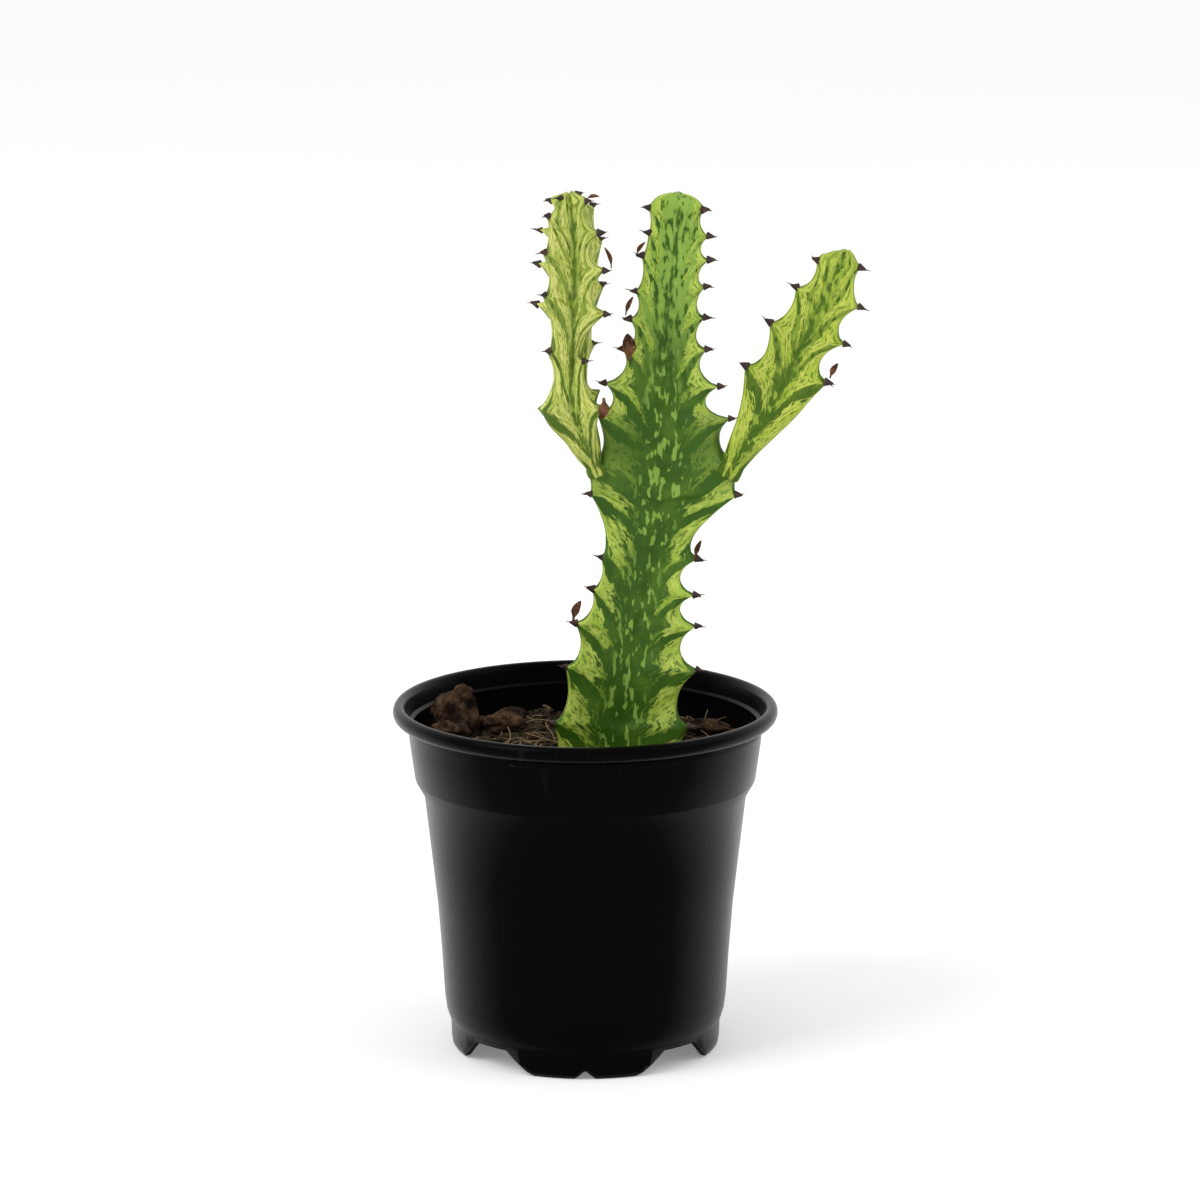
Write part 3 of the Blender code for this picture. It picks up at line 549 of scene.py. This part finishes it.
def stemSkin(name, look):  # waxy skin: pale patches under the teeth, dark shoulders, streaks and flecks
    made, tree, shader = newMaterial(name)
    place = objectPlace(tree)
    share = look["paleShare"]
    youngLow, youngHigh, youngShare = look["young"]
    inward, tooth = attributeOf(tree, "inward"), attributeOf(tree, "tooth")
    streak = attributeOf(tree, "streak")
    stretched = calc(tree, "MULTIPLY", inward, 1.3)
    streakPlace = addNode(tree, "ShaderNodeCombineXYZ", {0: streak, 1: stretched}).outputs[0]
    broadStreak = noiseAt(tree, streakPlace, 2.4, 3.0, 0.6)
    fineStreak = noiseAt(tree, streakPlace, 7.5, 2.0, 0.55)
    hairStreak = noiseAt(tree, streakPlace, 20.0, 2.0, 0.6)
    blotch = noiseAt(tree, place, 120.0, 4.0, 0.6)
    upright = addNode(tree, "ShaderNodeMapping", {"Vector": place, "Scale": (640.0, 640.0, 230.0)}).outputs[0]
    speckle = noiseAt(tree, upright, 1.0, 1.5, 0.5)
    fine = noiseAt(tree, place, 900.0, 3.0, 0.6)
    broad = calc(tree, "SUBTRACT", broadStreak, 0.5)
    narrow = calc(tree, "SUBTRACT", fineStreak, 0.5)
    phase = calc(tree, "SUBTRACT", 1.0, calc(tree, "FRACT", tooth))
    shaken = calc(tree, "MULTIPLY_ADD", narrow, 0.5, calc(tree, "MULTIPLY_ADD", broad, 0.7, phase))
    patch = calc(tree, "MULTIPLY", fade(tree, shaken, 0.03, 0.09), fade(tree, shaken, share + 0.08, share))
    inner = calc(tree, "MULTIPLY_ADD", narrow, 0.9, calc(tree, "MULTIPLY_ADD", broad, 1.0, inward))
    inner = calc(tree, "MULTIPLY_ADD", calc(tree, "SUBTRACT", blotch, 0.5), 0.5, inner)
    patch = calc(tree, "MULTIPLY", patch, fade(tree, inner, look["reach"] + 0.1, look["reach"] - 0.06))
    lines = calc(tree, "MULTIPLY", fade(tree, fineStreak, 0.47, 0.41), fade(tree, inward, 0.04, 0.3))
    hairs = calc(tree, "MULTIPLY", fade(tree, hairStreak, 0.48, 0.4), 0.35)
    darkened = calc(tree, "MINIMUM", calc(tree, "MULTIPLY_ADD", lines, 0.8, hairs), 1.0)
    flecks = calc(tree, "MULTIPLY", fade(tree, speckle, 0.56, 0.63), fade(tree, inward, 0.5, 0.8))
    grey = calc(tree, "MULTIPLY", fade(tree, blotch, 0.45, 0.7), 0.45)
    colour = blendColours(tree, grey, look["dark"], look["middle"])
    colour = blendColours(tree, calc(tree, "MULTIPLY", flecks, 0.85), colour, look["fleck"])
    heightOf = addNode(tree, "ShaderNodeSeparateXYZ", {0: place}).outputs[2]
    young = calc(tree, "MULTIPLY", fade(tree, heightOf, youngLow, youngHigh), fade(tree, speckle, 0.4, 0.5))
    offMiddle = fade(tree, calc(tree, "MULTIPLY_ADD", narrow, 0.3, inward), 1.0, 0.9)
    young = calc(tree, "MULTIPLY", young, offMiddle)
    colour = blendColours(tree, calc(tree, "MULTIPLY", young, youngShare), colour, look["fleck"])
    if "plain" in look:  # the dark shoulders that carry the branches
        low, middle, high = look["plain"]
        rising, falling = fade(tree, heightOf, low, middle), fade(tree, heightOf, high, middle)
        inPlain = calc(tree, "MULTIPLY", rising, falling)
        patch = calc(tree, "MULTIPLY", patch, calc(tree, "MULTIPLY_ADD", inPlain, -0.85, 1.0))
    paleTone = blendColours(tree, fade(tree, broadStreak, 0.35, 0.62), look["pale"], look["bright"])
    paleTone = blendColours(tree, darkened, paleTone, look["middle"])
    colour = blendColours(tree, patch, colour, paleTone)
    margin = fade(tree, calc(tree, "MULTIPLY_ADD", hairStreak, 0.05, inward), 0.1, 0.04)
    colour = blendColours(tree, calc(tree, "MULTIPLY", margin, 0.6), colour, look["dark"])
    tree.links.new(colour, shader.inputs["Base Color"])
    rough = addNode(tree, "ShaderNodeMapRange", {0: blotch, 3: 0.36, 4: 0.56}).outputs[0]
    tree.links.new(rough, shader.inputs["Roughness"])
    shader.inputs["Subsurface Weight"].default_value = 0.06
    shader.inputs["Subsurface Radius"].default_value = (0.8, 1.0, 0.2)
    shader.inputs["Subsurface Scale"].default_value = 0.001
    shader.inputs["Specular IOR Level"].default_value = 0.2
    relief = calc(tree, "MULTIPLY_ADD", fineStreak, 0.8, calc(tree, "MULTIPLY", fine, 0.35))
    addBump(tree, shader, relief, 0.35, 0.0004)
    return made


def cornSkin():  # the dry brown shields and spines
    made, tree, shader = newMaterial("dark spine shields")
    place = objectPlace(tree)
    mottle = noiseAt(tree, place, 500.0, 4.0, 0.65)
    colour = blendColours(tree, fade(tree, mottle, 0.45, 0.75), linear(38, 16, 11), linear(92, 62, 48))
    tree.links.new(colour, shader.inputs["Base Color"])
    shader.inputs["Roughness"].default_value = 0.6
    addBump(tree, shader, mottle, 0.4, 0.0004)
    return made


def buildShields(name, tips, skin, seed):
    rng = random.Random(seed)
    bm = bmesh.new()
    for place, out, across in tips:
        up = across.cross(out).normalized()
        if up.z < 0:
            up = -up
        size = rng.uniform(0.85, 1.15)
        lowRadius, highRadius, length = [side * size for side in stems["shield"]]
        rise = math.radians(rng.uniform(-4, 16))
        way = (out * math.cos(rise) + up * math.sin(rise)).normalized()
        turn = Matrix((across, way.cross(across), way)).transposed().to_4x4()
        made = bmesh.ops.create_cone(
            bm, cap_ends=True, segments=14, radius1=lowRadius, radius2=highRadius, depth=length,
            matrix=Matrix.Translation((0, 0, 0.25 * length)),
        )["verts"]
        for vert in made:
            vert.co.y *= 1.3
            vert.co *= 1.0 + 0.12 * noise.noise(vert.co * 1.3 + Vector((place.x, place.z, seed)))
        bmesh.ops.transform(bm, matrix=Matrix.Translation(place) @ turn, verts=made)
        for hand in (-1, 1):
            splay = math.radians(rng.uniform(16, 34)) * hand
            way = out * math.cos(splay) + across * math.sin(splay) + up * rng.uniform(-0.1, 0.35)
            way.normalize()
            length = stems["spineLength"] * rng.uniform(0.7, 1.05)
            facing = Vector((0, 0, 1)).rotation_difference(way).to_matrix().to_4x4()
            root = Matrix.Translation(place + out * 0.6 + way * (length / 2)) @ facing
            bmesh.ops.create_cone(
                bm, cap_ends=True, segments=8, radius1=0.32, radius2=0.04, depth=length, matrix=root
            )
    piece = finishMesh(bm, name, skin, 60.0)
    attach(piece, "root")


def buildStems():
    shields = cornSkin()
    sideBySide = [(60.0, mainStem["right"]), (180.0, (0, 2)), (300.0, mainStem["left"])]
    crossed = [(50.0, leftBranch["inner"]), (140.0, (3, 3)), (238.0, (0, 0)), (320.0, leftBranch["outer"])]
    leaning = [(60.0, rightBranch["outer"]), (180.0, (0, 2)), (300.0, rightBranch["inner"])]
    jobs = [
        ("mainStem", "main_stem", "stem_green", mainStem, sideBySide),
        ("leftBranch", "left_branch", "branch_green", leftBranch, crossed),
        ("rightBranch", "right_branch", "branch_green", rightBranch, leaning),
    ]
    for number, (name, node, slot, look, ribs) in enumerate(jobs):
        piece, tips = buildStem(name, stemSkin(name + " skin", look), look, ribs)
        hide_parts(node)
        buildShields(name + "Shields", tips, shields, number)
        print(name, "built")


buildStems()


mix = {
    "height": 95.0,
    "bumps": ((2.2, 0.11), (0.8, 0.37), (0.5, 0.9)),  # height and fineness of each layer of unevenness
    "rim": 52.3,
    "base": (40.4, 9.6),
    "wallGap": 0.35,
    "rings": 34,
    "segments": 150,
    "crumbs": 1500,
    "fibres": 190,
    "fibreRadius": 0.16,
    "fibreReach": 49.0,
    "fibreLimit": 50.0,  # no fibre crosses this circle
    "dark": linear(24, 20, 12),
    "brown": linear(78, 64, 46),
    "pale": linear(158, 142, 118),
}


def earth(name, dark, brown, pale, paleShare):
    made, tree, shader = newMaterial(name)
    place = objectPlace(tree)
    coarse = noiseAt(tree, place, 210.0, 5.0, 0.7)
    fine = noiseAt(tree, place, 1300.0, 3.0, 0.7)
    colour = blendColours(tree, fade(tree, coarse, 0.4, 0.68), dark, brown)
    colour = blendColours(tree, fade(tree, fine, 0.72 - paleShare, 0.86 - paleShare), colour, pale)
    tree.links.new(colour, shader.inputs["Base Color"])
    shader.inputs["Roughness"].default_value = 0.95
    shader.inputs["Specular IOR Level"].default_value = 0.15
    addBump(tree, shader, calc(tree, "ADD", coarse, fine), 0.8, 0.0008)
    return made


def mixLevel(x, y):
    spot = Vector((x, y, 0.0))
    return mix["height"] + sum(height * noise.noise(spot * fineness) for height, fineness in mix["bumps"])


def buildMix():
    gap = pot["wall"] + mix["wallGap"]
    inside = [(radius - gap, height) for radius, height in reversed(pot["body"][:-1])]
    outline = [(0.0, mix["base"][1]), mix["base"]] + inside + [(mix["rim"], mix["height"] - 1.0)]
    for ring in range(mix["rings"], 0, -1):
        outline.append((mix["rim"] * (ring - 0.5) / mix["rings"], mix["height"]))
    outline.append((0.0, mix["height"]))
    bm = bmesh.new()
    spun(bm, outline, mix["segments"])
    for vert in bm.verts:
        if vert.co.z > mix["height"] - 0.5:
            vert.co.z = mixLevel(vert.co.x, vert.co.y)
    soil = finishMesh(bm, "soilBed", earth("damp peat", mix["dark"], mix["brown"], mix["pale"], 0.0), 60.0)
    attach(soil, "root")
    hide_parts("potting_mix")


def buildCrumbs():
    rng = random.Random(5)
    bm = bmesh.new()
    for count in range(mix["crumbs"]):
        radius, turn = (mix["rim"] - 1.5) * math.sqrt(rng.random()), rng.uniform(0, math.tau)
        x, y = radius * math.cos(turn), radius * math.sin(turn)
        size = rng.uniform(0.5, 1.3) if count % 9 else rng.uniform(1.4, 2.6)
        made = bmesh.ops.create_icosphere(bm, subdivisions=1, radius=size)["verts"]
        stretch = Vector((rng.uniform(0.7, 1.5), rng.uniform(0.6, 1.1), rng.uniform(0.5, 0.9)))
        for vert in made:
            vert.co = vert.co * stretch * rng.uniform(0.75, 1.2)
        heading = Matrix.Rotation(rng.uniform(0, math.tau), 4, "Z")
        tilt = Matrix.Rotation(rng.uniform(-0.6, 0.6), 4, "X")
        place = Matrix.Translation((x, y, mixLevel(x, y) + 0.25 * size))
        bmesh.ops.transform(bm, matrix=place @ heading @ tilt, verts=made)
    skin = earth("loose crumbs", linear(30, 25, 16), linear(84, 68, 50), mix["pale"], 0.1)
    crumbs = finishMesh(bm, "soilCrumbs", skin, 20.0)
    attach(crumbs, "root")


def buildFibres():
    rng = random.Random(11)
    made, tree, shader = newMaterial("coir fibre")
    along = noiseAt(tree, objectPlace(tree), 240.0, 3.0)
    colour = blendColours(tree, along, linear(70, 50, 34), linear(186, 156, 120))
    tree.links.new(colour, shader.inputs["Base Color"])
    shader.inputs["Roughness"].default_value = 0.85
    curve = bpy.data.curves.new("soilFibres", "CURVE")
    curve.dimensions = "3D"
    curve.bevel_depth = mix["fibreRadius"] * mm
    curve.bevel_resolution = 1
    curve.resolution_u = 4
    curve.use_fill_caps = True
    for count in range(mix["fibres"]):
        radius, turn = mix["fibreReach"] * math.sqrt(rng.random()), rng.uniform(0, math.tau)
        x, y = radius * math.cos(turn), radius * math.sin(turn)
        heading, length = rng.uniform(0, math.tau), rng.uniform(5, 16)
        lift = rng.uniform(0.4, 2.0) if count % 4 else rng.uniform(3.0, 7.0)
        spline = curve.splines.new("NURBS")
        spline.points.add(4)
        spline.use_endpoint_u = True
        for step, point in enumerate(spline.points):
            share = step / 4
            heading += rng.uniform(-0.5, 0.5)
            offset = length * (share - 0.5)
            px, py = x + math.cos(heading) * offset, y + math.sin(heading) * offset
            scale = min(1.0, mix["fibreLimit"] / max(math.hypot(px, py), 1.0))
            px, py = px * scale, py * scale
            rise = lift * math.sin(math.pi * share) if count % 4 else lift * share
            point.co = (potAxisX + px * mm, py * mm, (mixLevel(px, py) + 0.1 + rise) * mm, 1.0)
    curve.materials.append(made)
    fibres = bpy.data.objects.new("soilFibres", curve)
    bpy.context.scene.collection.objects.link(fibres)
    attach(fibres, "root")


buildMix()
buildCrumbs()
buildFibres()
print("potting mix built")


litter = {
    "chips": [  # place, size, turns about X, Y and Z
        ((-40.5, 17.0, 103.0), (15.0, 9.0, 17.0), (8.0, 18.0, -12.0)),
        ((-42.0, 7.5, 99.4), (13.0, 7.0, 5.5), (0.0, 14.0, 20.0)),
        ((-26.0, 20.0, 99.6), (16.0, 9.0, 6.5), (0.0, -8.0, 10.0)),
        ((38.0, 14.0, 99.0), (17.0, 9.0, 5.0), (4.0, 6.0, -18.0)),
    ],
    "leaves": [  # root, tip, width, thickness, sideways bend
        ((-3.3, -11.6, 139.9), (-1.4, -11.9, 145.2), 2.6, 0.8, 0.5),
        ((34.2, -8.6, 159.0), (35.8, -8.8, 163.6), 1.7, 0.7, 0.3),
        ((12.9, -6.9, 235.0), (14.7, -7.0, 239.6), 1.5, 0.7, 0.4),
        ((13.4, -10.4, 221.6), (13.0, -10.0, 228.6), 4.4, 0.7, -0.3),
        ((16.4, -6.8, 253.4), (18.4, -7.2, 256.6), 1.3, 0.6, 0.5),
        ((7.6, -23.6, 252.4), (5.9, -24.0, 257.8), 1.3, 0.6, -0.7),
        ((1.6, -20.6, 272.3), (4.4, -21.0, 272.9), 1.2, 0.6, 0.6),
        ((5.6, -26.0, 210.4), (5.2, -26.2, 205.2), 3.4, 0.8, 0.4),
        ((75.2, -23.2, 218.4), (77.0, -23.6, 222.0), 1.9, 0.8, 0.3),
    ],
    "leafStalk": 1.3,
    "leafOutline": (  # share of the length, share of the width
        (0.0, 0.25), (0.1, 0.3), (0.2, 0.35), (0.32, 0.7), (0.45, 1.0), (0.6, 0.95), (0.75, 0.8), (0.93, 0.4),
        (1.0, 0.12),
    ),
}


def buildChips():
    skin = earth("rough bark", linear(34, 22, 15), linear(104, 80, 60), linear(150, 120, 92), 0.06)
    for number, (place, size, turns) in enumerate(litter["chips"], 1):
        bm = bmesh.new()
        verts = bmesh.ops.create_icosphere(bm, subdivisions=5, radius=0.5)["verts"]
        seed = number * 7.3
        for vert in verts:
            start = vert.co.copy()
            grain = Vector((start.x * 9.0, start.y * 9.0, start.z * 2.5))
            shift = 0.35 * noise.noise(start * 2.4 + Vector((seed, 0, 0))) - 0.03
            ridges = 0.07 * noise.noise(grain + Vector((seed, 3, 0)))
            vert.co *= 1.0 + shift + ridges + 0.05 * noise.noise(start * 14.0)
        bmesh.ops.scale(bm, vec=size, verts=verts)
        for turn, way in zip(turns, "XYZ"):
            matrix = Matrix.Rotation(math.radians(turn), 3, way)
            bmesh.ops.rotate(bm, verts=verts, cent=(0, 0, 0), matrix=matrix)
        bmesh.ops.translate(bm, vec=place, verts=verts)
        chip = finishMesh(bm, f"barkChip{number}", skin, 50.0)
        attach(chip, "root")
        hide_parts(f"bark_chip_{number}")


def buildLeaves():
    skin = earth("withered leaf", linear(70, 42, 30), linear(128, 88, 62), linear(196, 166, 130), 0.12)
    for number, (root, tip, width, thickness, curl) in enumerate(litter["leaves"], 1):
        root, tip = Vector(root), Vector(tip)
        root += (root - tip).normalized() * litter["leafStalk"]
        run = tip - root
        across = run.cross(Vector((0, 1, 0))).normalized()
        bm = bmesh.new()
        ring = None
        for share, wide in litter["leafOutline"]:
            ruffle = 0.3 * noise.noise(Vector((share * 6.0, number * 3.1, 0.0)))
            centre = root + run * share + across * (curl * math.sin(math.pi * share)) + Vector((0, ruffle, 0))
            half = across * (width * wide / 2)
            deep = Vector((0, thickness / 3, 0))
            places = [centre - half, centre - half * 0.5 - deep, centre + half * 0.5 - deep * 0.4]
            places += [centre + half, centre + half * 0.5 + deep, centre - half * 0.5 + deep * 0.4]
            if ring:
                ring = nextRing(bm, ring, places)
            else:
                ring = firstRing(bm, places)
                closeRing(bm, ring)
        closeRing(bm, ring)
        leaf = finishMesh(bm, f"witheredLeaf{number}", skin, 60.0)
        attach(leaf, "root")
        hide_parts(f"dried_leaf_{number}")


buildChips()
buildLeaves()
print("bark and withered leaves built")


studio = {
    "floorSize": 16.0,
    "cameraPlace": (-0.00842, -2.0, 0.59385),
    "cameraPitch": 12.71,  # degrees down
    "lens": 198.0,
    "worldStrength": 0.74,
    "floorGlow": 0.2,
    "lamps": [((-1.3, -0.9, 1.5), 1.1, 17.0), ((1.4, -0.4, 1.2), 1.2, 5.0)],  # place, size, watts
}


def buildStudio():
    scene = bpy.context.scene
    bm = bmesh.new()
    bmesh.ops.create_grid(bm, x_segments=1, y_segments=1, size=studio["floorSize"] / 2)
    mesh = bpy.data.meshes.new("floor")
    bm.to_mesh(mesh)
    bm.free()
    floor = bpy.data.objects.new("floor", mesh)
    scene.collection.objects.link(floor)
    made, tree, shader = newMaterial("pale floor")
    grain = noiseAt(tree, objectPlace(tree), 3.0)
    tone = blendColours(tree, grain, (0.96, 0.96, 0.95, 1.0), (0.98, 0.98, 0.975, 1.0))
    tree.links.new(tone, shader.inputs["Base Color"])
    shader.inputs["Roughness"].default_value = 0.9
    shader.inputs["Specular IOR Level"].default_value = 0.0
    seenFloor = addNode(tree, "ShaderNodeLightPath").outputs["Is Camera Ray"]
    glow = calc(tree, "MULTIPLY", seenFloor, studio["floorGlow"])
    shader.inputs["Emission Color"].default_value = (1.0, 1.0, 1.0, 1.0)
    tree.links.new(glow, shader.inputs["Emission Strength"])
    mesh.materials.append(made)
    world = bpy.data.worlds.new("studio")
    scene.world = world
    world.use_nodes = True
    tree = world.node_tree
    path = addNode(tree, "ShaderNodeLightPath")
    seen = calc(tree, "MAXIMUM", path.outputs["Is Camera Ray"], path.outputs["Is Transmission Ray"])
    strength = addNode(tree, "ShaderNodeMapRange", {0: seen, 3: studio["worldStrength"], 4: 1.0}).outputs[0]
    tree.links.new(strength, tree.nodes["Background"].inputs["Strength"])
    tree.nodes["Background"].inputs["Color"].default_value = (1.0, 1.0, 1.0, 1.0)
    for number, (place, size, watts) in enumerate(studio["lamps"], 1):
        light = bpy.data.lights.new(f"softbox{number}", "AREA")
        light.size = size
        light.energy = watts
        lamp = bpy.data.objects.new(f"softbox{number}", light)
        lamp.location = place
        lamp.rotation_euler = (Vector((0, 0, 0.12)) - Vector(place)).to_track_quat("-Z", "Y").to_euler()
        scene.collection.objects.link(lamp)
    camera = bpy.data.objects.new("camera", bpy.data.cameras.new("camera"))
    camera.data.lens = studio["lens"]
    camera.data.sensor_width = 36.0
    camera.location = studio["cameraPlace"]
    camera.rotation_euler = (math.radians(90.0 - studio["cameraPitch"]), 0.0, 0.0)
    scene.collection.objects.link(camera)
    scene.camera = camera
    scene.view_settings.view_transform = "Standard"


buildStudio()
print("studio built")
